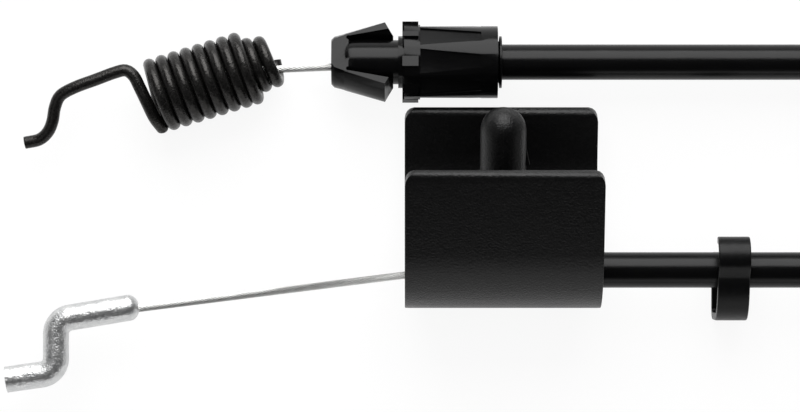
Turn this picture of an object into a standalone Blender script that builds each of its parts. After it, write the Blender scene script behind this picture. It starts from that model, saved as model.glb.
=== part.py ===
"""Clutch cable of a walk-behind mower: a sheathed wire with its engine end and its lever end.

The engine end has a tension spring, a swaged stop, a snap-in fitting and its collar. The lever end
has a Z fitting, a clamp bracket with a peg for the handlebar and a clip. The rest of the conduit
lies wound in a ring. X runs along both ends, +Z is up and the floor is z = 0.
"""

import math

import bmesh
import bpy
from mathutils import Matrix, Vector

for old in list(bpy.data.objects):
    bpy.data.objects.remove(old, do_unlink=True)

MM = 0.001
FIT_GAP = 0.3 * MM
LAYER_GAP = 0.1 * MM
ROUND_SIDES = 24
ORIGIN_X = 0.15 * MM
ORIGIN_Y = 0.56 * MM

# Conduit and wire
CONDUIT_RADIUS = 3.0 * MM
JACKET_WALL = 0.55 * MM
ARMOUR_WALL = 0.6 * MM
LINER_WALL = 0.4 * MM
WIRE_RADIUS = 0.62 * MM
CONDUIT_STRAIGHT_END_X = 77.85 * MM

# Engine end: the snap-in fitting, measured along its axis from the nose
ENGINE_Y = 23.85 * MM
LUG_RADIUS = 6.85 * MM
ENGINE_Z = LUG_RADIUS
NOSE_X = -3.25 * MM
NOSE_RADIUS = 4.3 * MM
NOSE_CHAMFER = 0.5 * MM
NOSE_LENGTH = 2.9 * MM
NOSE_BORE_RADIUS = 2.3 * MM
NOSE_BORE_STEP = 0.25 * MM
HEAD_HALF_HEIGHT = 3.3 * MM
HEAD_ROLL = math.radians(-27)
CORE_RADIUS = 3.75 * MM
CORE_START = 2.2 * MM
CORE_DOME = 2.2 * MM
RELIEF_RADIUS = 0.4 * MM
RELIEF_Y = 3.0 * MM
WING_TIP_RADIUS = 6.75 * MM
WING_START = 2.2 * MM
WING_TIP = 9.05 * MM
WING_UNDERCUT = 1.6 * MM
WING_INNER_RADIUS = 4.1 * MM
WING_ROOT_STRIP = 0.3 * MM
WING_TIP_STRIP = 1.2 * MM
WING_BEVEL_DROP = 1.6 * MM
WING_INSET = 0.03 * MM
FLANGE_START = 11.3 * MM
FLANGE_RADIUS = 4.4 * MM
BODY_START = 12.3 * MM
BODY_RADIUS = 6.4 * MM
LUG_START = 12.0 * MM
LUG_LENGTH = 2.7 * MM
LUG_WIDTH = 1.7 * MM
LUG_SLANT = 0.5 * MM
LUG_COUNT = 8
GROOVE_WIDTH = 2.1 * MM
GROOVE_SPREAD = 2.0
GROOVE_DEPTH = 0.4 * MM
MOUTH_RING_START = 25.3 * MM
MOUTH_RADIUS = 6.1 * MM
MOUTH_WALL = 1.0 * MM
MOUTH_DEPTH = 4.4 * MM
FITTING_LENGTH = 28.1 * MM
CONDUIT_SEAT = 15.0 * MM
COLLAR_WALL = 0.4 * MM
COLLAR_FLARE_RADIUS = 4.4 * MM
COLLAR_FLARE_LENGTH = 0.5 * MM
COLLAR_PROUD = 0.7 * MM

# Engine end: the wire outside the fitting
WIRE_DROP = 0.5 * MM
WIRE_SLOPE = 0.04
WIRE_LEVEL_X = NOSE_X + 8.75 * MM
WIRE_HIDDEN_END_X = 58.0 * MM

# Engine end: the spring, measured along its axis from the wire end towards the hook
SPRING_WIRE_RADIUS = 1.05 * MM
SPRING_COIL_RADIUS = 5.4 * MM
SPRING_NECK_RADII = (3.95 * MM, 3.6 * MM)
SPRING_PITCH = 2.14 * MM
SPRING_NECK_PITCH = 1.75 * MM
SPRING_FULL_TURNS = 7
SPRING_TILT = math.radians(17)
SPRING_END_X = -13.99 * MM
SPRING_END_Y = 23.91 * MM
SPRING_END_SETBACK = 0.5 * MM
SPRING_END_TURN = 9.75
SPRING_STEPS = 18
HOOK_ROUTE = (
    (-43.3, -1.1, 0.6),
    (-40.8, -1.3, 0.8),
    (-39.0, -0.5, 1.2),
    (-37.7, 1.0, 1.6),
    (-36.6, 3.1, 1.9),
    (-35.1, 4.7, 2.2),
    (-32.3, 5.3, 2.5),
    (-28.7, 5.5, 2.6),
    (-25.2, 5.7, 2.7),
    (-23.3, 5.5, 2.8),
    (-22.3, 4.2, 2.9),
    (-21.9, 2.1, 2.9),
    (-21.5, -0.6, 2.6),
    (-21.1, -3.4, 1.6),
)
STOP_RADIUS = 3.1 * MM
STOP_LENGTH = 4.0 * MM
STOP_DEPTH = 5.9 * MM
STOP_BEVEL = 0.5 * MM

# Lever end: the bracket, in a frame whose Y runs out of its mouth
BRACKET_X = 25.5 * MM
BRACKET_LENGTH = 32.7 * MM
BRACKET_Y = -2.6 * MM
BRACKET_OUTER_RADIUS = 15.0 * MM
BRACKET_WALL = 2.2 * MM
BRACKET_HEIGHT = 29.45 * MM
BRACKET_ROLL = math.radians(23)
BRACKET_CORNER = 2.3 * MM
SEAT_FLOOR = 9.6 * MM
BORE_HEIGHT = 5.6 * MM
WIRE_HOLE_RADIUS = 1.9 * MM
WIRE_HOLE_LENGTH = 14.0 * MM
PEG_RADIUS = 3.85 * MM
PEG_HEIGHT = 34.8 * MM
PEG_BARB = 0.6 * MM
BRACKET_Z = BRACKET_OUTER_RADIUS

# Lever end: the Z fitting and its wire
Z_RADIUS = 2.2 * MM
Z_BEND = 2.75 * MM
Z_CORNERS = ((-57.9, -29.7), (-49.5, -28.5), (-49.5, -19.65), (-35.65, -17.35))
Z_DOME = 1.7 * MM
Z_DOME_FLAT = 0.4
LEVER_WIRE_DROP = 0.35 * MM
LEVER_WIRE_BEND = 3.0 * MM
LEVER_WIRE_HIDDEN = 24.0 * MM

# Lever end: the clip, in a frame whose origin is on the conduit's axis
CLIP_X = 64.2 * MM
CLIP_WIDTH = 5.35 * MM
CLIP_WALL = 1.25 * MM
CLIP_NEAR_Y = -7.95 * MM
CLIP_SHOULDER_Z = -3.0 * MM
CLIP_CORNER = 1.5 * MM
CLIP_END_Y = 2.3 * MM
CLIP_END_Z = -3.3 * MM
CLIP_HOOK_END_Y = 5.0 * MM
CLIP_HOOK_END_Z = 2.4 * MM
CLIP_HOOK_TOP_Z = 6.2 * MM
CLIP_HOOK_BEND = 2.9 * MM
CLIP_STEP = ((1.2, 6.2), (0.5, 5.7), (-0.3, 4.5))

# Spare conduit: the ring and the two runs that lead to it
RING_X = 128.0 * MM
RING_Y = 6.3 * MM
TURN_SPACING = 2 * CONDUIT_RADIUS + 0.2 * MM
RING_COLUMNS = 2
RING_LAYERS = 3
RING_MIDDLE_RADIUS = 35.5 * MM
RING_SIDES = 48
ENGINE_ROUTE = ((81.0, 24.0), (84.7, 24.6), (88.4, 25.65))
LEVER_ROUTE = ((81.0, -11.4), (84.7, -12.0), (88.4, -13.05))
ROUTE_STEP = 2.4 * MM


def material(name, colour, roughness, metallic=0.0):
    made = bpy.data.materials.new(name)
    made.use_nodes = True
    surface = made.node_tree.nodes["Principled BSDF"]
    surface.inputs["Base Color"].default_value = (*colour, 1.0)
    surface.inputs["Roughness"].default_value = roughness
    surface.inputs["Metallic"].default_value = metallic
    return made


def empty(name, location, parent=None, rotation=(0, 0, 0)):
    made = bpy.data.objects.new(name, None)
    bpy.context.collection.objects.link(made)
    made.location = location
    made.rotation_euler = rotation
    made.parent = parent
    return made


def add_mesh(name, mesh, parent, look=None, rotation=(0, 0, 0), location=(0, 0, 0)):
    """Put a mesh into the scene, shaded smooth but for its sharp edges."""
    made = bpy.data.objects.new(name, mesh)
    bpy.context.collection.objects.link(made)
    made.parent = parent
    made.rotation_euler = rotation
    made.location = location
    if look:
        mesh.materials.append(look)
    mesh.shade_smooth()
    mesh.set_sharp_from_angle(angle=math.radians(35))
    return made


def mesh_from(shape, name):
    bmesh.ops.recalc_face_normals(shape, faces=shape.faces)
    mesh = bpy.data.meshes.new(name)
    shape.to_mesh(mesh)
    shape.free()
    return mesh


def turned(name, profile, parent, look=None, sides=ROUND_SIDES, axis="X", **placing):
    """Spin a closed outline of (along, radius) points about the axis."""
    shape = bmesh.new()
    place = (lambda a, r: (a, 0, r)) if axis == "X" else (lambda a, r: (r, 0, a))
    ring = [shape.verts.new(place(a, r)) for a, r in profile]
    edges = [shape.edges.new((ring[i - 1], ring[i])) for i in range(len(ring))]
    spun = Vector((1, 0, 0)) if axis == "X" else Vector((0, 0, 1))
    bmesh.ops.spin(
        shape, geom=ring + edges, cent=(0, 0, 0), axis=spun, angle=math.tau, steps=sides, use_merge=True
    )
    bmesh.ops.remove_doubles(shape, verts=shape.verts, dist=0.001 * MM)
    return add_mesh(name, mesh_from(shape, name), parent, look, **placing)


def extruded(name, outline, start, depth, parent, look=None, **placing):
    """Extrude a closed outline of (y, z) points along X."""
    shape = bmesh.new()
    face = shape.faces.new([shape.verts.new((start, y, z)) for y, z in outline])
    grown = bmesh.ops.extrude_face_region(shape, geom=[face])["geom"]
    moved = [part for part in grown if isinstance(part, bmesh.types.BMVert)]
    bmesh.ops.translate(shape, verts=moved, vec=(depth, 0, 0))
    return add_mesh(name, mesh_from(shape, name), parent, look, **placing)


def box(name, low, high, parent, **placing):
    outline = [(low[1], low[2]), (high[1], low[2]), (high[1], high[2]), (low[1], high[2])]
    return extruded(name, outline, low[0], high[0] - low[0], parent, **placing)


def rod(name, points, radius, parent, look, resolution=2, widths=None):
    """A round bar along a line of points, with closed ends; widths scale its radius."""
    curve = bpy.data.curves.new(name, "CURVE")
    curve.dimensions = "3D"
    curve.bevel_depth = radius
    curve.bevel_resolution = resolution
    curve.use_fill_caps = True
    spline = curve.splines.new("POLY")
    spline.points.add(len(points) - 1)
    for slot, point, width in zip(spline.points, points, widths or [1.0] * len(points)):
        slot.co = (*point, 1.0)
        slot.radius = width
    spline.use_smooth = True
    curve.materials.append(look)
    made = bpy.data.objects.new(name, curve)
    bpy.context.collection.objects.link(made)
    made.parent = parent
    return made


def combine(target, tool, operation, folded=False):
    """Join a tool to its target, or cut it away, and hide the tool."""
    step = target.modifiers.new(tool.name, "BOOLEAN")
    step.operation = operation
    step.solver = "EXACT"
    step.use_self = folded
    step.object = tool
    tool.hide_render = True
    tool.display_type = "WIRE"


def arc(centre, radius, first, last, steps):
    """Points on an arc, in degrees, both ends included."""
    turns = [math.radians(first + (last - first) * i / steps) for i in range(steps + 1)]
    return [(centre[0] + radius * math.cos(t), centre[1] + radius * math.sin(t)) for t in turns]


def rounded(corners, radius, steps=5):
    """A line through corner points whose inner corners are bends of one radius."""
    corners = [Vector(corner) for corner in corners]
    line = [corners[0]]
    for before, corner, after in zip(corners, corners[1:], corners[2:]):
        back = (before - corner).normalized()
        ahead = (after - corner).normalized()
        half = back.angle(ahead) / 2
        centre = corner + (back + ahead).normalized() * radius / math.sin(half)
        first = corner + back * radius / math.tan(half) - centre
        last = corner + ahead * radius / math.tan(half) - centre
        line += [centre + first.lerp(last, i / steps).normalized() * radius for i in range(steps + 1)]
    return line + [corners[-1]]


def smooth_route(points, step):
    """Points spaced along a Catmull-Rom curve through the route."""
    points = [Vector(point) for point in points]
    ends = [2 * points[0] - points[1], *points, 2 * points[-1] - points[-2]]
    line = [points[0]]
    for a, b, c, d in zip(ends, ends[1:], ends[2:], ends[3:]):
        count = max(1, round((c - b).length / step))
        for i in range(1, count + 1):
            t = i / count
            bend = 2 * b + (c - a) * t + (2 * a - 5 * b + 4 * c - d) * t**2
            line.append((bend + (3 * b - a - 3 * c + d) * t**3) / 2)
    return line


def tube_profile(start, end, inner, outer):
    return [(start, inner), (start, outer), (end, outer), (end, inner)]


black_nylon = material("black_nylon", (0.004, 0.004, 0.0042), 0.22)
grained_black = material("grained_black", (0.005, 0.005, 0.0052), 0.5)
satin_black = material("satin_black", (0.0048, 0.0048, 0.005), 0.35)
jacket_black = material("jacket_black", (0.0045, 0.0045, 0.0048), 0.3)
spring_black = material("spring_black", (0.02, 0.02, 0.019), 0.32, 0.6)
zinc = material("zinc", (0.72, 0.72, 0.72), 0.18, 1.0)
strand_steel = material("strand_steel", (0.55, 0.55, 0.54), 0.3, 1.0)
armour_steel = material("armour_steel", (0.4, 0.4, 0.4), 0.4, 1.0)
liner_white = material("liner_white", (0.8, 0.8, 0.78), 0.4)
collar_black = material("collar_black", (0.0045, 0.0045, 0.0048), 0.3)

cable = empty("cable", (ORIGIN_X, ORIGIN_Y, 0))
fitting_axis = empty("fitting_axis", (NOSE_X, ENGINE_Y, ENGINE_Z), cable)
bracket_frame = empty("bracket_frame", (BRACKET_X, BRACKET_Y, BRACKET_Z), cable, (BRACKET_ROLL, 0, 0))

bore_drop = BRACKET_OUTER_RADIUS - BORE_HEIGHT
LEVER_Y = BRACKET_Y - bore_drop * math.cos(BRACKET_ROLL)
LEVER_Z = BRACKET_Z - bore_drop * math.sin(BRACKET_ROLL)


head_slope = (WING_TIP_RADIUS - NOSE_RADIUS) / (WING_TIP - NOSE_CHAMFER)


def wing_section(along, outer_radius, strip_width, undercut=0.0, steps=6):
    """One cross-section of a barbed wing, from its top strip round the outside and back inside."""
    half = HEAD_HALF_HEIGHT - WING_INSET
    top = math.degrees(math.asin(half / outer_radius))
    outside = arc((0, 0), outer_radius, top, -top, steps)
    strip = outside[0][0] - strip_width
    bevel = half - WING_BEVEL_DROP
    inside = [(strip, -half), (WING_INNER_RADIUS, -bevel), (WING_INNER_RADIUS, bevel), (strip, half)]
    section = outside + inside
    return [(along + undercut * (outer_radius - math.hypot(y, z)) / outer_radius, y, z) for y, z in section]


def wing(name, side):
    """A barbed wing, joined to the nose at its root."""
    root_radius = NOSE_RADIUS + head_slope * (WING_START - NOSE_CHAMFER)
    undercut = WING_UNDERCUT / (1 - WING_INNER_RADIUS / WING_TIP_RADIUS)
    shape = bmesh.new()
    rings = []
    for points in (
        wing_section(WING_START, root_radius, WING_ROOT_STRIP),
        wing_section(WING_TIP, WING_TIP_RADIUS, WING_TIP_STRIP, undercut),
    ):
        rings.append([shape.verts.new((x, y * side, z)) for x, y, z in points])
    root, tip = rings
    for i in range(len(root)):
        shape.faces.new((root[i - 1], root[i], tip[i], tip[i - 1]))
    for ring in rings:
        shape.faces.new(ring)
    bmesh.ops.triangulate(shape, faces=shape.faces)
    return add_mesh(name, mesh_from(shape, name), fitting_axis, rotation=(HEAD_ROLL, 0, 0))


def head():
    """The nose with its two flats and the arches where the core comes out of them."""
    bore = NOSE_BORE_RADIUS + NOSE_BORE_STEP
    made = turned(
        "nose_block",
        [
            (0, bore),
            (0, NOSE_RADIUS - NOSE_CHAMFER),
            (NOSE_CHAMFER, NOSE_RADIUS),
            (NOSE_LENGTH, NOSE_RADIUS + head_slope * (NOSE_LENGTH - NOSE_CHAMFER) - 2 * WING_INSET),
            (NOSE_LENGTH, bore),
        ],
        fitting_axis,
        rotation=(HEAD_ROLL, 0, 0),
    )
    far = 2 * WING_TIP_RADIUS
    for side, label in ((1, "upper"), (-1, "lower")):
        levels = sorted((side * HEAD_HALF_HEIGHT, side * far))
        flat = box(
            f"{label}_flat_cutter", (-far, -far, levels[0]), (far, far, levels[1]), fitting_axis,
            rotation=(HEAD_ROLL, 0, 0),
        )
        combine(made, flat, "DIFFERENCE")
    made.hide_render = True
    made.display_type = "WIRE"
    return made


def core_dome(steps=5):
    """The outline of the core's rounded start, which rises out of the flats of the nose."""
    low = HEAD_HALF_HEIGHT - LAYER_GAP
    turns = [math.pi / 2 * i / steps for i in range(steps + 1)]
    return [
        (CORE_START + CORE_DOME * (1 - math.cos(t)), low + (CORE_RADIUS - low) * math.sin(t)) for t in turns
    ]


def lug_outline():
    """A lug's cross-section, whose top slants down to one side."""
    low = CONDUIT_RADIUS + FIT_GAP + MOUTH_WALL
    half = LUG_WIDTH / 2
    return [(-half, low), (half, low), (half, LUG_RADIUS - LUG_SLANT), (-half, LUG_RADIUS)]


def snap_fitting():
    """One moulding: nose, barbed wings, core, flange, lugs, body with tapered grooves, and mouth."""
    bore = CONDUIT_RADIUS + FIT_GAP
    mouth_bore = MOUTH_RADIUS - MOUTH_WALL
    seat = CONDUIT_SEAT - FIT_GAP
    made = turned(
        "snap_fitting",
        [
            (NOSE_LENGTH / 2, NOSE_BORE_RADIUS),
            (NOSE_LENGTH / 2, HEAD_HALF_HEIGHT - LAYER_GAP),
            *core_dome(),
            (FLANGE_START, CORE_RADIUS),
            (FLANGE_START, FLANGE_RADIUS),
            (BODY_START, FLANGE_RADIUS),
            (BODY_START, BODY_RADIUS),
            (MOUTH_RING_START, MOUTH_RADIUS),
            (FITTING_LENGTH, MOUTH_RADIUS),
            (FITTING_LENGTH, mouth_bore),
            (FITTING_LENGTH - MOUTH_DEPTH, mouth_bore),
            (FITTING_LENGTH - MOUTH_DEPTH, bore),
            (seat, bore),
            (seat, NOSE_BORE_RADIUS),
        ],
        fitting_axis,
        black_nylon,
        sides=32,
    )
    combine(made, head(), "UNION")
    for side, label in ((1, "far"), (-1, "near")):
        combine(made, wing(f"{label}_wing", side), "UNION", folded=True)
        low = HEAD_HALF_HEIGHT - WING_BEVEL_DROP
        far = 2 * HEAD_HALF_HEIGHT
        relief = turned(
            f"{label}_relief_cutter",
            [(low, 0), (low, RELIEF_RADIUS), (far, RELIEF_RADIUS), (far, 0)],
            fitting_axis,
            sides=12,
            axis="Z",
            rotation=(HEAD_ROLL, 0, 0),
            location=Matrix.Rotation(HEAD_ROLL, 3, "X") @ Vector((NOSE_LENGTH, RELIEF_Y * side, 0)),
        )
        combine(made, relief, "DIFFERENCE")
    for i in range(LUG_COUNT):
        turn = (math.tau * i / LUG_COUNT, 0, 0)
        lug = extruded(f"lug_{i + 1}", lug_outline(), LUG_START, LUG_LENGTH, fitting_axis, rotation=turn)
        combine(made, lug, "UNION")
        groove = box(
            f"groove_cutter_{i + 1}",
            (LUG_START + LUG_LENGTH + FIT_GAP, -GROOVE_WIDTH / 2, MOUTH_RADIUS - GROOVE_DEPTH),
            (MOUTH_RING_START, GROOVE_WIDTH / 2, 2 * BODY_RADIUS),
            fitting_axis,
            rotation=turn,
        )
        for corner in groove.data.vertices:
            if corner.co.x < MOUTH_RING_START - FIT_GAP:
                corner.co.y *= GROOVE_SPREAD
        combine(made, groove, "DIFFERENCE")
    return made


def engine_collar():
    """The thin flared collar round the conduit at the fitting's mouth."""
    inner = CONDUIT_RADIUS + LAYER_GAP
    outer = inner + COLLAR_WALL
    start = FITTING_LENGTH - MOUTH_DEPTH + FIT_GAP
    end = FITTING_LENGTH + COLLAR_PROUD
    return turned(
        "conduit_collar",
        [
            (start, inner),
            (start, outer),
            (end - COLLAR_FLARE_LENGTH, outer),
            (end - COLLAR_WALL, COLLAR_FLARE_RADIUS),
            (end, COLLAR_FLARE_RADIUS),
            (end, inner),
        ],
        fitting_axis,
        collar_black,
    )


def conduit_layers(prefix, start, location):
    """The three layers of a straight conduit end: jacket, wound steel armour and liner."""
    layers = (
        ("jacket", CONDUIT_RADIUS, JACKET_WALL, jacket_black),
        ("armour", CONDUIT_RADIUS - JACKET_WALL - LAYER_GAP, ARMOUR_WALL, armour_steel),
        (
            "liner",
            CONDUIT_RADIUS - JACKET_WALL - ARMOUR_WALL - 2 * LAYER_GAP,
            LINER_WALL,
            liner_white,
        ),
    )
    for name, outer, wall, look in layers:
        profile = tube_profile(start, CONDUIT_STRAIGHT_END_X, outer - wall, outer)
        turned(f"{prefix}_{name}", profile, cable, look, location=location)


def wire_line(x):
    """The engine wire's centre at x: level inside the conduit, sloping outside it."""
    return Vector((x, ENGINE_Y - WIRE_DROP - WIRE_SLOPE * max(0.0, WIRE_LEVEL_X - x), ENGINE_Z))


stop_x = SPRING_END_X - STOP_DEPTH * math.cos(SPRING_TILT)
wire_heading = math.atan(WIRE_SLOPE)


def engine_wire():
    """The stranded wire from its stop in the spring to its hidden end in the conduit."""
    start = stop_x - STOP_LENGTH / 2 - FIT_GAP
    points = [wire_line(x) for x in (start, WIRE_LEVEL_X, WIRE_HIDDEN_END_X)]
    return rod("engine_wire", points, WIRE_RADIUS, cable, strand_steel)


def wire_stop():
    """The barrel swaged on the wire, which the spring's necked end bears on."""
    inner = WIRE_RADIUS + LAYER_GAP
    half = STOP_LENGTH / 2
    return turned(
        "wire_stop",
        [
            (-half, inner),
            (-half, STOP_RADIUS - STOP_BEVEL),
            (STOP_BEVEL - half, STOP_RADIUS),
            (half - STOP_BEVEL, STOP_RADIUS),
            (half, STOP_RADIUS - STOP_BEVEL),
            (half, inner),
        ],
        cable,
        strand_steel,
        location=wire_line(stop_x),
        rotation=(0, 0, wire_heading),
    )


def spring_line():
    """The spring's centre line in its own frame: X towards the wire, Y across, Z up."""
    first_turn = -(SPRING_FULL_TURNS + 1) * SPRING_PITCH - SPRING_NECK_PITCH - SPRING_END_SETBACK
    line = []
    steps = round((SPRING_END_TURN + 0.5) * SPRING_STEPS)
    for i in range(steps + 1):
        turn = -0.5 + (SPRING_END_TURN + 0.5) * i / steps
        along = SPRING_PITCH * min(turn, SPRING_FULL_TURNS)
        along += SPRING_NECK_PITCH * min(max(turn - SPRING_FULL_TURNS, 0), 1)
        along += SPRING_PITCH * max(turn - SPRING_FULL_TURNS - 1, 0)
        neck = min(max((turn - SPRING_FULL_TURNS - 0.5) / 0.5, 0), 1)
        end = min(max(turn - SPRING_FULL_TURNS - 1, 0), 1)
        radius = SPRING_COIL_RADIUS + (SPRING_NECK_RADII[0] - SPRING_COIL_RADIUS) * neck
        radius += (SPRING_NECK_RADII[1] - SPRING_NECK_RADII[0]) * end
        angle = math.tau * turn
        line.append(Vector((first_turn + along, radius * math.cos(angle), radius * math.sin(angle))))
    return line


def hook_line():
    """The hook's route, from its free tip to the first coil, in the spring's own frame."""
    return [Vector(point) * MM for point in HOOK_ROUTE]


def return_spring():
    """The tension spring: eight full coils, two necked ones and a long hook, of one wire."""
    route = hook_line() + spring_line()[:1]
    line = smooth_route(route, SPRING_WIRE_RADIUS)[:-1] + spring_line()
    made = rod("return_spring", line, SPRING_WIRE_RADIUS, cable, spring_black)
    made.location = (SPRING_END_X, SPRING_END_Y, ENGINE_Z)
    made.rotation_euler = (0, 0, SPRING_TILT)
    return made


def bracket():
    """The handlebar bracket: a channel with a thick floor, a peg and the conduit's bore."""
    top = BRACKET_HEIGHT - BRACKET_OUTER_RADIUS
    rim = BRACKET_WALL / 2
    outer = BRACKET_OUTER_RADIUS
    inner = outer - BRACKET_WALL
    seat_centre = SEAT_FLOOR + inner - outer
    upper_rim = arc((top - rim, outer - rim), rim, 90, -90, 6)
    lower_rim = arc((top - rim, rim - outer), rim, 90, -90, 6)
    seat = arc((seat_centre, 0), inner, 90, 270, 16)
    floor = arc((0, 0), outer, 270, 90, 18)
    outline = upper_rim + seat + lower_rim + floor
    half = BRACKET_LENGTH / 2
    made = extruded("handlebar_bracket", outline, -half, BRACKET_LENGTH, bracket_frame, grained_black)
    corner = BRACKET_CORNER
    shape = bmesh.new()
    side_view = (
        arc((half - corner, top - corner), corner, 0, 90, 5)
        + arc((corner - half, top - corner), corner, 90, 180, 5)
        + arc((corner - half, corner - outer), corner, 180, 270, 5)
        + arc((half - corner, corner - outer), corner, 270, 360, 5)
    )
    face = shape.faces.new([shape.verts.new((x, y, -2 * outer)) for x, y in side_view])
    grown = bmesh.ops.extrude_face_region(shape, geom=[face])["geom"]
    moved = [part for part in grown if isinstance(part, bmesh.types.BMVert)]
    bmesh.ops.translate(shape, verts=moved, vec=(0, 0, 4 * outer))
    corners = add_mesh("corner_cutter", mesh_from(shape, "corner_cutter"), bracket_frame)
    combine(made, corners, "INTERSECT")
    peg_top = PEG_HEIGHT - outer
    peg_foot = SEAT_FLOOR - outer - PEG_RADIUS / 2
    dome = arc((peg_top - PEG_RADIUS, 0), PEG_RADIUS, 90, 0, 7)
    peg_profile = [(peg_foot, 0), (peg_foot, PEG_RADIUS), *dome]
    peg = turned("peg", peg_profile, bracket_frame, rotation=(0, 0, math.pi / 2))
    combine(made, peg, "UNION")
    barb_low = peg_top - 2.6 * PEG_RADIUS
    barb_high = peg_top - 1.1 * PEG_RADIUS
    shape = bmesh.new()
    out = PEG_RADIUS + PEG_BARB
    outline = ((0, barb_low), (out, barb_low), (PEG_RADIUS - PEG_BARB, barb_high), (0, barb_high))
    face = shape.faces.new([shape.verts.new((x, y, -PEG_BARB)) for x, y in outline])
    grown = bmesh.ops.extrude_face_region(shape, geom=[face])["geom"]
    moved = [part for part in grown if isinstance(part, bmesh.types.BMVert)]
    bmesh.ops.translate(shape, verts=moved, vec=(0, 0, 2 * PEG_BARB))
    barb = add_mesh("barb", mesh_from(shape, "barb"), bracket_frame)
    combine(made, barb, "UNION")
    seat_x = WIRE_HOLE_LENGTH - half
    bore = turned(
        "bore_cutter",
        [
            (-2 * half, 0),
            (-2 * half, WIRE_HOLE_RADIUS),
            (seat_x, WIRE_HOLE_RADIUS),
            (seat_x, CONDUIT_RADIUS + FIT_GAP),
            (2 * half, CONDUIT_RADIUS + FIT_GAP),
            (2 * half, 0),
        ],
        bracket_frame,
        location=(0, BORE_HEIGHT - outer, 0),
    )
    combine(made, bore, "DIFFERENCE")
    return made


def band_outline(line, wall):
    """The closed outline of a band of even thickness along a flat line."""
    left = []
    right = []
    for i, point in enumerate(line):
        before = line[max(i - 1, 0)]
        after = line[min(i + 1, len(line) - 1)]
        along = (Vector(after) - Vector(before)).normalized()
        across = Vector((-along.y, along.x)) * wall / 2
        left.append(Vector(point) + across)
        right.append(Vector(point) - across)
    return [tuple(point) for point in left + right[::-1]]


def cable_clip():
    """The clip: a band hooked over the conduit, with a deep loop whose end stands under it."""
    inner_z = CONDUIT_RADIUS + FIT_GAP + CLIP_WALL / 2
    floor_z = CLIP_WALL / 2 - LEVER_Z
    corner = CLIP_CORNER
    bend = CLIP_HOOK_BEND
    turns = [math.pi / 2 * i / 10 for i in range(1, 11)]
    shoulder = [
        (CLIP_NEAR_Y * math.sin(t), CLIP_SHOULDER_Z + (inner_z - CLIP_SHOULDER_Z) * math.cos(t)) for t in turns
    ]
    line = [(CLIP_HOOK_END_Y, CLIP_HOOK_END_Z)]
    line += arc((CLIP_HOOK_END_Y - bend, CLIP_HOOK_TOP_Z - bend), bend, 0, 90, 8)
    line += [(y * MM, z * MM) for y, z in CLIP_STEP]
    line += shoulder
    line += arc((CLIP_NEAR_Y + corner, floor_z + corner), corner, 180, 270, 5)
    line += arc((CLIP_END_Y - corner, floor_z + corner), corner, 270, 360, 5)
    line += [(CLIP_END_Y, CLIP_END_Z)]
    return extruded(
        "cable_clip",
        band_outline(line, CLIP_WALL),
        -CLIP_WIDTH / 2,
        CLIP_WIDTH,
        cable,
        satin_black,
        location=(CLIP_X, LEVER_Y, LEVER_Z),
    )


def z_fitting(steps=5):
    """The bent Z end of the lever wire, flat where it is cut and domed where it holds the wire."""
    corners = [(x * MM, y * MM, LEVER_Z) for x, y in Z_CORNERS]
    line = rounded(corners, Z_BEND)
    end = line.pop()
    back = (line[-1] - end).normalized() * Z_DOME
    turns = [math.acos(Z_DOME_FLAT) * i / steps for i in range(steps + 1)]
    reach = math.sin(turns[-1])
    widths = [1.0] * len(line) + [math.cos(t) for t in turns]
    line += [end + back * (1 - math.sin(t) / reach) for t in turns]
    return rod("z_fitting", line, Z_RADIUS, cable, zinc, resolution=3, widths=widths)


def lever_wire():
    """The stranded wire from the Z fitting into the bracket, where it turns along the conduit."""
    start = Vector((Z_CORNERS[-1][0] * MM, Z_CORNERS[-1][1] * MM, LEVER_Z))
    start += Vector((FIT_GAP, -LEVER_WIRE_DROP, 0))
    bend_x = BRACKET_X - BRACKET_LENGTH / 2 + LEVER_WIRE_BEND
    bend = Vector((bend_x, LEVER_Y - WIRE_DROP, LEVER_Z))
    end = bend + Vector((LEVER_WIRE_HIDDEN, 0, 0))
    return rod("lever_wire", [start, bend, end], WIRE_RADIUS, cable, strand_steel)


def spare_conduit():
    """The ring of spare turns, and the runs that lead into it from both straight ends."""
    half_width = (RING_COLUMNS - 1) * TURN_SPACING / 2 + CONDUIT_RADIUS + LAYER_GAP
    top = (RING_LAYERS - 1) * TURN_SPACING + 2 * CONDUIT_RADIUS + LAYER_GAP
    inner = RING_MIDDLE_RADIUS - half_width
    outer = RING_MIDDLE_RADIUS + half_width
    edge = CONDUIT_RADIUS / 2
    corners = (
        ((edge, inner + edge), 180, 270),
        ((top - edge, inner + edge), 270, 360),
        ((top - edge, outer - edge), 0, 90),
        ((edge, outer - edge), 90, 180),
    )
    profile = [point for centre, first, last in corners for point in arc(centre, edge, first, last, 2)]
    turned(
        "spare_coil", profile, cable, jacket_black, sides=RING_SIDES, axis="Z", location=(RING_X, RING_Y, 0)
    )
    start = CONDUIT_STRAIGHT_END_X + FIT_GAP
    for name, route, y, z in (
        ("engine_run", ENGINE_ROUTE, ENGINE_Y, ENGINE_Z),
        ("lever_run", LEVER_ROUTE, LEVER_Y, LEVER_Z),
    ):
        points = [(start, y, z)] + [(a * MM, b * MM, z) for a, b in route]
        rod(name, smooth_route(points, ROUTE_STEP), CONDUIT_RADIUS, cable, jacket_black, resolution=3)


snap_fitting()
engine_collar()
conduit_layers("engine", NOSE_X + CONDUIT_SEAT, (0, ENGINE_Y, ENGINE_Z))
engine_wire()
wire_stop()
return_spring()
bracket()
lever_seat_x = BRACKET_X - BRACKET_LENGTH / 2 + WIRE_HOLE_LENGTH + FIT_GAP
conduit_layers("lever", lever_seat_x, (0, LEVER_Y, LEVER_Z))
lever_wire()
z_fitting()
cable_clip()
spare_conduit()
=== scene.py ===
"""Looks of a mower clutch cable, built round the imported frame."""

import math

import bpy
from mathutils import Matrix, Vector


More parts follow.
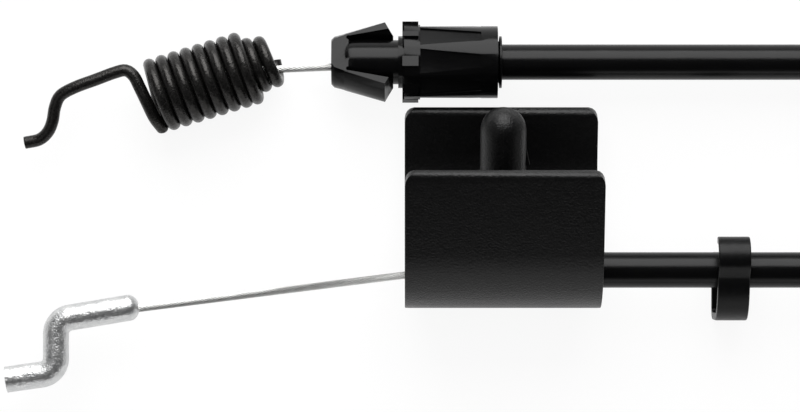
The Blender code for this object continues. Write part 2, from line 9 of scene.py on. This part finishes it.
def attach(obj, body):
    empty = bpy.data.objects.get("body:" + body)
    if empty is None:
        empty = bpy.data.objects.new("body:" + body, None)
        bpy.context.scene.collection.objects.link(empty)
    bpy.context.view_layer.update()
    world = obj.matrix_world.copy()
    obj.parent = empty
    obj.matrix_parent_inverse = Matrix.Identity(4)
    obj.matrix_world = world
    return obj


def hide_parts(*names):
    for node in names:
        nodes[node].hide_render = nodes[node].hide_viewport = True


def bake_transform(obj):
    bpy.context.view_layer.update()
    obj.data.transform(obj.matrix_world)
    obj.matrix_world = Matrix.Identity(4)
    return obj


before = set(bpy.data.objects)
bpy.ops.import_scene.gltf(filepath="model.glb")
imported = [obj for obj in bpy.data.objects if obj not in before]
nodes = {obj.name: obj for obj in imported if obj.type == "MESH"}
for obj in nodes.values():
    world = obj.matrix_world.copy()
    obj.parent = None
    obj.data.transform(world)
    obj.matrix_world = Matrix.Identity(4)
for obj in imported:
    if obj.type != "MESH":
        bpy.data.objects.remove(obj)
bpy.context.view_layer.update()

# Studio: a camera straight above the two cable ends, and a pale floor inside a low pale wall.
# Of the four soft lamps, the one behind the cable draws the highlight along each round bar,
# and the small ones at the side and in front show the Z fitting and the bracket's foot.
MM = 0.001
CAMERA_X = 8.5 * MM
CAMERA_Y = 0.06 * MM
CAMERA_HEIGHT = 700 * MM
FOCAL_PIXELS = 4095
PICTURE_PIXELS = 800
SENSOR_WIDTH_MM = 36
NEAREST_SEEN = 10 * MM
FARTHEST_SEEN = 20
FLOOR_COLOUR = (0.93, 0.93, 0.93, 1.0)
FLOOR_SEEN_GLOW = 0.9
FLOOR_MIRRORED_GLOW = 0.55
WORLD_COLOUR = (0.06, 0.06, 0.062, 1.0)
WALL_RADIUS = 2.6
WALL_HEIGHT = 0.9
WALL_SIDES = 64


def begin():
    """Leave edit mode and drop the selection, so that an operator acts on new things alone."""
    if bpy.context.object and bpy.context.object.mode != "OBJECT":
        bpy.ops.object.mode_set(mode="OBJECT")
    bpy.ops.object.select_all(action="DESELECT")


class Signal:
    """One output socket of a shader node; arithmetic on it adds Math nodes."""

    def __init__(self, finish, socket):
        self.finish = finish
        self.socket = socket

    def math(self, operation, other):
        return self.finish.node("ShaderNodeMath", {"operation": operation}, {0: self, 1: other})

    def __add__(self, other):
        return self.math("ADD", other)

    def __mul__(self, other):
        return self.math("MULTIPLY", other)

    def __pow__(self, other):
        return self.math("POWER", other)

    __radd__ = __add__
    __rmul__ = __mul__


class Finish:
    """A material whose nodes are added one by one."""

    def __init__(self, name, **sockets):
        self.material = bpy.data.materials.new(name)
        self.material.use_nodes = True
        self.tree = self.material.node_tree
        self.surface = self.tree.nodes["Principled BSDF"]
        self.set(**sockets)

    def connect(self, socket, value):
        if isinstance(value, Signal):
            self.tree.links.new(value.socket, socket)
        else:
            socket.default_value = value

    def set(self, **sockets):
        for name, value in sockets.items():
            self.connect(self.surface.inputs[name.replace("_", " ")], value)

    def node(self, kind, settings, sockets, output=0):
        """Add a node and give one of its outputs."""
        made = self.tree.nodes.new(kind)
        for name, value in settings.items():
            setattr(made, name, value)
        for name, value in sockets.items():
            self.connect(made.inputs[name], value)
        return Signal(self, made.outputs[output])

    def place(self):
        return self.node("ShaderNodeTexCoord", {}, {}, "Object")

    def place_x(self):
        return self.node("ShaderNodeSeparateXYZ", {}, {0: self.place()})

    def noise(self, size, detail=2.0, stretch=(1, 1, 1)):
        """Noise whose lumps are about that many metres across, longer where stretch is above 1."""
        scale = tuple(1 / (size * along) for along in stretch)
        spot = self.node("ShaderNodeMapping", {}, {"Vector": self.place(), "Scale": scale})
        sockets = {"Vector": spot, "Scale": 1.0, "Detail": detail}
        return self.node("ShaderNodeTexNoise", {}, sockets)

    def between(self, factor, low, high):
        """A colour between two others."""
        sockets = {0: factor, 6: (*low, 1.0), 7: (*high, 1.0)}
        return self.node("ShaderNodeMix", {"data_type": "RGBA"}, sockets, 2)

    def bump(self, height, depth):
        """Relief that many metres deep."""
        sockets = {"Height": height, "Distance": depth, "Strength": 1.0}
        self.set(Normal=self.node("ShaderNodeBump", {}, sockets))

    def dress(self, *pieces):
        for piece in pieces:
            piece.data.materials.clear()
            piece.data.materials.append(self.material)


begin()
bpy.ops.object.camera_add(location=(CAMERA_X, CAMERA_Y, CAMERA_HEIGHT), rotation=(0, 0, 0))
camera = bpy.context.object
camera.name = "camera"
camera.data.sensor_width = SENSOR_WIDTH_MM
camera.data.lens = FOCAL_PIXELS / PICTURE_PIXELS * SENSOR_WIDTH_MM
camera.data.clip_start = NEAREST_SEEN
camera.data.clip_end = FARTHEST_SEEN
bpy.context.scene.camera = camera

floor_finish = Finish("studio_floor", Base_Color=FLOOR_COLOUR, Roughness=0.8)
floor_finish.set(Specular_IOR_Level=0.0)
camera_ray = floor_finish.node("ShaderNodeLightPath", {}, {}, "Is Camera Ray")
glossy_ray = floor_finish.node("ShaderNodeLightPath", {}, {}, "Is Glossy Ray")
glow = floor_finish.node("ShaderNodeEmission", {}, {"Color": (1, 1, 1, 1), "Strength": 1.0})
shaded = Signal(floor_finish, floor_finish.surface.outputs[0])
seen = camera_ray * FLOOR_SEEN_GLOW + glossy_ray * FLOOR_MIRRORED_GLOW
mixed = floor_finish.node("ShaderNodeMixShader", {}, {0: seen, 1: shaded, 2: glow})
output = floor_finish.tree.nodes["Material Output"]
floor_finish.connect(output.inputs["Surface"], mixed)

bpy.ops.mesh.primitive_plane_add(size=2 * WALL_RADIUS, location=(0, 0, 0))
floor = bpy.context.object
floor.name = "studio_floor"
bpy.ops.mesh.primitive_cylinder_add(
    vertices=WALL_SIDES,
    radius=WALL_RADIUS,
    depth=WALL_HEIGHT,
    end_fill_type="NOTHING",
    location=(0, 0, WALL_HEIGHT / 2),
)
wall = bpy.context.object
wall.name = "studio_wall"
floor_finish.dress(floor, wall)


def lamp(name, place, aim, size, power):
    """A rectangular softbox at a place, turned towards another, of that many watts."""
    bpy.ops.object.light_add(type="AREA", location=place)
    made = bpy.context.object
    made.name = name
    made.rotation_euler = (Vector(aim) - Vector(place)).to_track_quat("-Z", "Y").to_euler()
    made.data.shape = "RECTANGLE"
    made.data.size, made.data.size_y = size
    made.data.energy = power
    return made


lamp("back_softbox", (0.01, 0.44, 0.35), (0.01, 0, 0), size=(0.5, 0.56), power=5.0)
overhead = lamp("overhead_fill", (0, 0.05, 0.95), (0, 0, 0), size=(0.9, 0.9), power=4.6)
overhead.visible_glossy = False
lamp("side_softbox", (-0.34, -0.05, 0.56), (-0.04, -0.02, 0), size=(0.32, 0.32), power=0.15)
lamp("front_strip", (0.03, -0.17, 0.07), (0.02, -0.01, 0.02), size=(0.3, 0.07), power=0.06)

world = bpy.data.worlds.new("studio_world")
world.use_nodes = True
world.node_tree.nodes["Background"].inputs["Color"].default_value = WORLD_COLOUR
bpy.context.scene.world = world
bpy.context.scene.view_settings.view_transform = "Standard"

# Conduit: one smooth black plastic jacket extruded over the steel armour, from the snap-in
# fitting to the handlebar bracket. Its middle lies wound in a ring of almost five turns,
# in two columns and three layers.
ORIGIN_X = 0.15 * MM
ORIGIN_Y = 0.56 * MM
CONDUIT_RADIUS = 3.0 * MM
STRAIGHT_END_X = 77.85 * MM + ORIGIN_X
ENGINE_Y = 23.85 * MM + ORIGIN_Y
ENGINE_Z = 6.85 * MM
ENGINE_SEAT_X = 11.75 * MM + ORIGIN_X
LEVER_Y = -11.253 * MM + ORIGIN_Y
LEVER_Z = 11.327 * MM
LEVER_SEAT_X = 23.45 * MM + ORIGIN_X
RING_X = 128.0 * MM + ORIGIN_X
RING_Y = 6.3 * MM + ORIGIN_Y
OUTER_COLUMN = 38.6 * MM
INNER_COLUMN = 32.4 * MM
RING_LEVELS = (3.05 * MM, 9.25 * MM, 15.45 * MM)
RING_STEP_DEGREES = 6
CROSSING_DEGREES = 64
CROSSING_STAGGER_DEGREES = 15.5
FIRST_CROSSING_DEGREES = 338
WHOLE_TURNS = 4
RUN_STEPS = 14
BLACK_SPECULAR = 0.17
DEEP_BLACK = (0.0008, 0.0008, 0.0009)
SOFT_BLACK = (0.0020, 0.0020, 0.0021)


def ease(value):
    """A smooth step from 0 to 1."""
    value = min(max(value, 0.0), 1.0)
    return (1 - math.cos(math.pi * value)) / 2


# Each run is one bend, which touches the straight end and the ring's outer column.
run_rise = ENGINE_Y - RING_Y
run_reach = RING_X - STRAIGHT_END_X
run_bend = (run_reach**2 + run_rise**2 - OUTER_COLUMN**2) / (2 * (OUTER_COLUMN - run_rise))
run_turn = math.atan2(run_reach, run_rise + run_bend)
ring_start = math.degrees(math.pi / 2 + run_turn)
ring_sweep = 360 * WHOLE_TURNS + 2 * ring_start
columns = (OUTER_COLUMN, INNER_COLUMN, INNER_COLUMN, OUTER_COLUMN, OUTER_COLUMN)
levels = (RING_LEVELS[0], RING_LEVELS[0], RING_LEVELS[1], RING_LEVELS[1], RING_LEVELS[2])


def ring_point(swept):
    """A point on the wound turns, by the angle swept since the conduit joined the ring."""
    radius = columns[0]
    height = levels[0]
    for k in range(1, len(columns)):
        crossing = FIRST_CROSSING_DEGREES + (360 - CROSSING_STAGGER_DEGREES) * (k - 1)
        moved = ease((swept - crossing) / CROSSING_DEGREES + 0.5)
        radius += (columns[k] - columns[k - 1]) * moved
        height += (levels[k] - levels[k - 1]) * moved
    angle = math.radians(ring_start - swept)
    return Vector((RING_X + radius * math.cos(angle), RING_Y + radius * math.sin(angle), height))


def run_points(side, level_start, level_end):
    """The bend between a straight end and the ring, from the straight end on."""
    line = []
    for i in range(1, RUN_STEPS):
        turn = run_turn * i / RUN_STEPS
        x = STRAIGHT_END_X + run_bend * math.sin(turn)
        y = RING_Y + side * (run_rise + run_bend * (1 - math.cos(turn)))
        line.append(Vector((x, y, level_start + (level_end - level_start) * ease(i / RUN_STEPS))))
    return line


def straight(first, last, step=6 * MM):
    """Evenly spaced points on a line, both ends included."""
    count = max(1, round((Vector(last) - Vector(first)).length / step))
    return [Vector(first).lerp(Vector(last), i / count) for i in range(count + 1)]


def tube(name, lines, radius, sides=24, widths=None):
    """A round bar along each line of points, as one curve object; widths scale its radius."""
    curve = bpy.data.curves.new(name, "CURVE")
    curve.dimensions = "3D"
    curve.bevel_depth = radius
    curve.bevel_resolution = (sides - 4) // 2
    curve.use_fill_caps = True
    for line in lines:
        spline = curve.splines.new("POLY")
        spline.points.add(len(line) - 1)
        for knot, point, width in zip(spline.points, line, widths or [1.0] * len(line)):
            knot.co = (*point, 1.0)
            knot.radius = width
        spline.use_smooth = True
    made = bpy.data.objects.new(name, curve)
    bpy.context.collection.objects.link(made)
    return made


def as_mesh(piece):
    """Turn a curve into a mesh at the origin."""
    begin()
    piece.select_set(True)
    bpy.context.view_layer.objects.active = piece
    bpy.ops.object.convert(target="MESH")
    bpy.ops.object.transform_apply(location=True, rotation=True, scale=True)
    bpy.ops.object.shade_smooth_by_angle(angle=math.radians(40))
    return bpy.context.object


ring_count = round(ring_sweep / RING_STEP_DEGREES)
conduit_line = straight((ENGINE_SEAT_X, ENGINE_Y, ENGINE_Z), (STRAIGHT_END_X, ENGINE_Y, ENGINE_Z))
conduit_line += run_points(1, ENGINE_Z, RING_LEVELS[0])
conduit_line += [ring_point(ring_sweep * i / ring_count) for i in range(ring_count + 1)]
conduit_line += run_points(-1, LEVER_Z, RING_LEVELS[2])[::-1]
conduit_line += straight((STRAIGHT_END_X, LEVER_Y, LEVER_Z), (LEVER_SEAT_X, LEVER_Y, LEVER_Z))

conduit = tube("conduit", [conduit_line], CONDUIT_RADIUS)
jacket = Finish("jacket_black", Specular_IOR_Level=BLACK_SPECULAR)
streaks = jacket.noise(0.5 * MM, 3.0, (8, 1, 1))
cloud = jacket.noise(6 * MM, 2.0)
jacket.set(Base_Color=jacket.between(cloud, DEEP_BLACK, SOFT_BLACK))
jacket.set(Roughness=0.20 + streaks * 0.10)
jacket.bump(streaks, 0.01 * MM)
jacket.dress(conduit)
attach(conduit, "cable_body")
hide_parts("engine_jacket", "engine_run", "spare_coil", "lever_run", "lever_jacket")

# Inside the conduit: a flat steel wire wound edge to edge under the jacket, round a white
# plastic liner that the cable slides in. Both stop with the jacket at the two seats.
ARMOUR_PITCH = 1.6 * MM
armour = Finish("armour_steel", Metallic=1.0)
wound = armour.place_x().math("PINGPONG", ARMOUR_PITCH / 2)
rub = armour.noise(1 * MM)
armour.set(Base_Color=armour.between(rub, (0.30, 0.30, 0.30), (0.46, 0.46, 0.45)))
armour.set(Roughness=0.32 + armour.noise(0.3 * MM) * 0.2)
armour.bump(wound * (2 / ARMOUR_PITCH), 0.06 * MM)
armour.dress(nodes["engine_armour"], nodes["lever_armour"])
liner = Finish("liner_white")
tint = liner.noise(2 * MM)
liner.set(Base_Color=liner.between(tint, (0.74, 0.74, 0.72), (0.82, 0.82, 0.80)))
liner.set(Roughness=0.36 + liner.noise(0.4 * MM) * 0.12)
liner.dress(nodes["engine_liner"], nodes["lever_liner"])

# Snap-in fitting: one black nylon moulding. Its barbed wings spring out behind the engine's
# plate and the eight lugs stop against it. The conduit ends on a seat inside the ribbed body.
FITTING_EDGE = 0.09 * MM


def copy_of(node, name):
    """A merged copy of a CAD node's mesh, whose flat faces are whole again."""
    begin()
    made = bpy.data.objects.new(name, nodes[node].data.copy())
    bpy.context.collection.objects.link(made)
    made.select_set(True)
    bpy.context.view_layer.objects.active = made
    bpy.ops.object.mode_set(mode="EDIT")
    bpy.ops.mesh.select_all(action="SELECT")
    bpy.ops.mesh.remove_doubles(threshold=0.002 * MM)
    bpy.ops.mesh.dissolve_limited(angle_limit=math.radians(1))
    bpy.ops.object.mode_set(mode="OBJECT")
    return made


def apply_all(piece):
    """Apply every modifier of a piece."""
    begin()
    piece.select_set(True)
    bpy.context.view_layer.objects.active = piece
    for step in list(piece.modifiers):
        bpy.ops.object.modifier_apply(modifier=step.name)


def soften(piece, width, angle=38, segments=2):
    """Round the sharp edges of a piece and shade it smooth."""
    step = piece.modifiers.new("edges", "BEVEL")
    step.width = width
    step.segments = segments
    step.limit_method = "ANGLE"
    step.angle_limit = math.radians(angle)
    step.use_clamp_overlap = True
    step.harden_normals = True
    begin()
    piece.select_set(True)
    bpy.context.view_layer.objects.active = piece
    bpy.ops.object.shade_smooth_by_angle(angle=math.radians(angle))
    apply_all(piece)
    return piece


fitting = soften(copy_of("snap_fitting", "snap_in_fitting"), FITTING_EDGE)
nylon = Finish("black_nylon", Specular_IOR_Level=BLACK_SPECULAR)
flow = nylon.noise(3 * MM, 2.0, (2, 1, 1))
nylon.set(Base_Color=nylon.between(flow, DEEP_BLACK, SOFT_BLACK))
nylon.set(Roughness=0.16 + nylon.noise(0.6 * MM, 3.0) * 0.12)
nylon.bump(flow, 0.03 * MM)
nylon.dress(fitting)
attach(fitting, "cable_body")
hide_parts("snap_fitting")

# Collar: a thin black plastic sleeve pushed over the conduit, flared where it stands out of
# the fitting's mouth.
COLLAR_EDGE = 0.08 * MM
collar = soften(copy_of("conduit_collar", "conduit_collar_piece"), COLLAR_EDGE)
sleeve = Finish("collar_black", Specular_IOR_Level=BLACK_SPECULAR)
sleeve.set(Base_Color=sleeve.between(sleeve.noise(2 * MM), DEEP_BLACK, SOFT_BLACK))
sleeve.set(Roughness=0.22 + sleeve.noise(0.4 * MM) * 0.1)
sleeve.dress(collar)
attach(collar, "cable_body")
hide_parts("conduit_collar")

# Engine wire: bright steel rope of twelve fine outer strands laid left-handed round a core.
# A short steel barrel is swaged on its end, inside the spring.
WIRE_RADIUS = 0.62 * MM
WIRE_DROP = 0.5 * MM
WIRE_SLOPE = 0.04
WIRE_LEVEL_X = 5.5 * MM
WIRE_START_X = -21.96 * MM
WIRE_END_X = 58.0 * MM
STRANDS = 12
LAY_LENGTH = 12.5 * MM
ROPE_STEP = 0.6 * MM
STOP_EDGE = 0.1 * MM


def rope(name, corners):
    """A stranded wire along straight stretches: outer strands that turn left round a core."""
    strand_radius = WIRE_RADIUS * math.sin(math.pi / STRANDS) / (1 + math.sin(math.pi / STRANDS))
    lay_radius = WIRE_RADIUS - strand_radius
    centre = []
    for a, b in zip(corners, corners[1:]):
        centre += straight(a, b, ROPE_STEP)[(1 if centre else 0):]
    travelled = 0.0
    lines = [[] for _ in range(STRANDS)]
    for i, point in enumerate(centre):
        ahead = (centre[min(i + 1, len(centre) - 1)] - centre[max(i - 1, 0)]).normalized()
        travelled += (point - centre[max(i - 1, 0)]).length
        side = Vector((-ahead.y, ahead.x, 0)).normalized()
        up = ahead.cross(side)
        for k, line in enumerate(lines):
            angle = math.tau * (k / STRANDS - travelled / LAY_LENGTH)
            line.append(point + (side * math.cos(angle) + up * math.sin(angle)) * lay_radius)
    strands = tube(name, lines, strand_radius, sides=8)
    core = as_mesh(tube(name + "_core", [centre], lay_radius, sides=12))
    strands = as_mesh(strands)
    core.select_set(True)
    bpy.ops.object.join()
    return bpy.context.object


steel = Finish("strand_steel", Metallic=1.0)
tarnish = steel.noise(2 * MM, 3.0)
steel.set(Base_Color=steel.between(tarnish, (0.42, 0.42, 0.41), (0.66, 0.66, 0.65)))
steel.set(Roughness=0.24 + steel.noise(0.4 * MM) * 0.16)

wire_y = ENGINE_Y - WIRE_DROP
slope_run = WIRE_LEVEL_X - WIRE_START_X
engine_wire = rope(
    "engine_wire_rope",
    [
        Vector((WIRE_START_X + ORIGIN_X, wire_y - WIRE_SLOPE * slope_run, ENGINE_Z)),
        Vector((WIRE_LEVEL_X + ORIGIN_X, wire_y, ENGINE_Z)),
        Vector((WIRE_END_X + ORIGIN_X, wire_y, ENGINE_Z)),
    ],
)
steel.dress(engine_wire)
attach(engine_wire, "engine_wire_body")
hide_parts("engine_wire")

stop = soften(copy_of("wire_stop", "wire_stop_barrel"), STOP_EDGE)
steel.dress(stop)
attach(stop, "engine_wire_body")
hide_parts("wire_stop")

# Tension spring: close-wound black steel wire, necked at the cable's end so that the swaged
# barrel can't pass, and drawn out at the other into a long hook.
SPRING_WIRE_RADIUS = 1.05 * MM
SPRING_COIL_RADIUS = 5.4 * MM
SPRING_NECK_RADII = (3.95 * MM, 3.6 * MM)
SPRING_PITCH = 2.14 * MM
SPRING_NECK_PITCH = 1.75 * MM
SPRING_START_TURN = -0.5
SPRING_FULL_TURNS = 7
SPRING_END_TURN = 9.75
SPRING_SETBACK = 0.5 * MM
SPRING_TILT = math.radians(17)
SPRING_END = Vector((-13.99 * MM + ORIGIN_X, 23.91 * MM + ORIGIN_Y, ENGINE_Z))
TURN_STEPS = 40
HOOK_STEP = 0.5 * MM
HOOK_ROUTE = (
    (-43.3, -1.1, 0.6),
    (-40.8, -1.3, 0.8),
    (-39.0, -0.5, 1.2),
    (-37.7, 1.0, 1.6),
    (-36.6, 3.1, 1.9),
    (-35.1, 4.7, 2.2),
    (-32.3, 5.3, 2.5),
    (-28.7, 5.5, 2.6),
    (-25.2, 5.7, 2.7),
    (-23.3, 5.5, 2.8),
    (-22.3, 4.2, 2.9),
    (-21.9, 2.1, 2.9),
    (-21.5, -0.6, 2.6),
    (-21.1, -3.4, 1.6),
)


def coil_point(turn):
    """The spring's centre line by turns since its first full coil, in the spring's own frame."""
    first = -(SPRING_FULL_TURNS + 1) * SPRING_PITCH - SPRING_NECK_PITCH - SPRING_SETBACK
    past = turn - SPRING_FULL_TURNS
    along = SPRING_PITCH * (min(turn, SPRING_FULL_TURNS) + max(past - 1, 0))
    along += SPRING_NECK_PITCH * min(max(past, 0), 1)
    # The coil narrows within half a turn, and a little more over the turn after it.
    radius = SPRING_COIL_RADIUS
    radius += (SPRING_NECK_RADII[0] - radius) * min(max(2 * past - 1, 0), 1)
    radius += (SPRING_NECK_RADII[1] - SPRING_NECK_RADII[0]) * min(max(past - 1, 0), 1)
    angle = math.tau * turn
    return Vector((first + along, radius * math.cos(angle), radius * math.sin(angle)))


def flowing(points, step):
    """Points spaced along a Catmull-Rom curve through the given ones."""
    ends = [2 * points[0] - points[1], *points, 2 * points[-1] - points[-2]]
    line = [points[0]]
    for a, b, c, d in zip(ends, ends[1:], ends[2:], ends[3:]):
        count = max(1, round((c - b).length / step))
        for i in range(1, count + 1):
            t = i / count
            bend = 2 * b + (c - a) * t + (2 * a - 5 * b + 4 * c - d) * t**2
            line.append((bend + (3 * b - a - 3 * c + d) * t**3) / 2)
    return line


coil_turns = SPRING_END_TURN - SPRING_START_TURN
coil_count = round(coil_turns * TURN_STEPS)
coil = [coil_point(SPRING_START_TURN + coil_turns * i / coil_count) for i in range(coil_count + 1)]
hook = flowing([Vector(point) * MM for point in HOOK_ROUTE] + coil[:1], HOOK_STEP)[:-1]
turned = Matrix.Rotation(SPRING_TILT, 4, "Z")
spring_line = [SPRING_END + turned @ point for point in hook + coil]
spring = as_mesh(tube("tension_spring", [spring_line], SPRING_WIRE_RADIUS, sides=20))
phosphate = Finish("spring_black", Metallic=0.85)
speckle = phosphate.noise(0.35 * MM, 4.0)
patch = phosphate.noise(3 * MM, 2.0)
phosphate.set(Base_Color=phosphate.between(speckle, (0.002, 0.002, 0.002), (0.050, 0.048, 0.046)))
phosphate.set(Roughness=0.16 + speckle * 0.18 + patch * 0.08)
phosphate.bump(speckle, 0.06 * MM)
phosphate.dress(spring)
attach(spring, "spring_body")
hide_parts("return_spring")

# Handlebar bracket: one moulding of grained black plastic. Its channel clips over the
# handlebar tube, the peg enters a hole in the tube, and the conduit ends in the thick floor.
BRACKET_EDGE = 0.35 * MM
SEAM_X = 25.5 * MM + ORIGIN_X
SEAM_WIDTH = 0.09 * MM
bracket = copy_of("handlebar_bracket", "bracket_moulding")
soften(bracket, BRACKET_EDGE, angle=50, segments=3)
grained = Finish("grained_black", Specular_IOR_Level=0.26)
grain = grained.noise(0.32 * MM, 4.0)
fleck = grained.noise(0.24 * MM, 3.0) ** 4
seam_sockets = {0: grained.place_x(), 1: SEAM_X, 2: SEAM_WIDTH}
seam = grained.node("ShaderNodeMath", {"operation": "COMPARE"}, seam_sockets)
grained.set(Base_Color=grained.between(fleck, (0.0005, 0.0005, 0.0006), (0.020, 0.020, 0.0195)))
grained.set(Roughness=0.26 + grain * 0.14)
grained.bump(grain + seam, 0.1 * MM)
grained.dress(bracket)
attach(bracket, "cable_body")
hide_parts("handlebar_bracket")

# Lever wire: the other end of the same steel rope, from inside the Z fitting into the bracket,
# where it turns along the conduit. It slides with the Z fitting and stays in the conduit.
LEVER_WIRE_START = Vector((-36.25 * MM + ORIGIN_X, -17.81 * MM + ORIGIN_Y, LEVER_Z))
LEVER_WIRE_BEND = Vector((12.15 * MM + ORIGIN_X, LEVER_Y - WIRE_DROP, LEVER_Z))
LEVER_WIRE_HIDDEN = 24 * MM
LEVER_WIRE_END = LEVER_WIRE_BEND + Vector((LEVER_WIRE_HIDDEN, 0, 0))
lever_wire = rope("lever_wire_rope", [LEVER_WIRE_START, LEVER_WIRE_BEND, LEVER_WIRE_END])
steel.dress(lever_wire)
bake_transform(lever_wire)
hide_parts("lever_wire")

# Z fitting: a zinc-plated steel bar, swaged on the wire and bent twice, which hooks through
# an eye in the clutch lever.
Z_RADIUS = 2.2 * MM
Z_BEND = 2.75 * MM
Z_CORNERS = ((-57.9, -29.7), (-49.5, -28.5), (-49.5, -19.65), (-35.65, -17.35))
Z_DOME = 1.7 * MM
Z_DOME_FLAT = 0.4
Z_DOME_STEPS = 10
Z_EDGE = 0.2 * MM


def bent(corners, radius, steps=12):
    """A line through corner points whose inner corners are bends of one radius."""
    line = [corners[0]]
    for before, corner, after in zip(corners, corners[1:], corners[2:]):
        back = (before - corner).normalized()
        forth = (after - corner).normalized()
        half = back.angle(forth) / 2
        centre = corner + (back + forth).normalized() * radius / math.sin(half)
        first = corner + back * radius / math.tan(half) - centre
        last = corner + forth * radius / math.tan(half) - centre
        rays = [first.lerp(last, i / steps).normalized() for i in range(steps + 1)]
        line += [centre + ray * radius for ray in rays]
    return line + [corners[-1]]


z_corners = [Vector((x * MM + ORIGIN_X, y * MM + ORIGIN_Y, LEVER_Z)) for x, y in Z_CORNERS]
z_line = bent(z_corners, Z_BEND)
z_end = z_line.pop()
dome_back = (z_line[-1] - z_end).normalized() * Z_DOME
dome_turns = [math.acos(Z_DOME_FLAT) * i / Z_DOME_STEPS for i in range(Z_DOME_STEPS + 1)]
z_widths = [1.0] * len(z_line) + [math.cos(t) for t in dome_turns]
z_line += [z_end + dome_back * (1 - math.sin(t) / math.sin(dome_turns[-1])) for t in dome_turns]
z_bar = as_mesh(tube("z_bar", [z_line], Z_RADIUS, sides=28, widths=z_widths))
soften(z_bar, Z_EDGE, angle=60, segments=3)
zinc = Finish("zinc", Metallic=1.0)
plating = zinc.noise(1.2 * MM, 3.0)
zinc.set(Base_Color=zinc.between(plating, (0.46, 0.47, 0.48), (0.80, 0.80, 0.79)))
zinc.set(Roughness=0.28 + zinc.noise(0.6 * MM, 3.0) * 0.22)
zinc.bump(plating + zinc.noise(0.3 * MM) * 0.3, 0.16 * MM)
zinc.dress(z_bar)
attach(z_bar, "lever_wire_body")
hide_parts("z_fitting")

# Clip: one springy black band, hooked over the conduit, with a deep loop beside it whose end
# comes back under the conduit.
CLIP_EDGE = 0.22 * MM
clip = soften(copy_of("cable_clip", "conduit_clip"), CLIP_EDGE, angle=50, segments=3)
satin = Finish("satin_black", Specular_IOR_Level=BLACK_SPECULAR)
haze = satin.noise(0.8 * MM, 3.0)
satin.set(Base_Color=satin.between(haze, (0.0008, 0.0008, 0.0009), (0.0022, 0.0022, 0.0023)))
satin.set(Roughness=0.28 + haze * 0.14)
satin.bump(haze, 0.02 * MM)
satin.dress(clip)
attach(clip, "clip_body")
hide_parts("cable_clip")
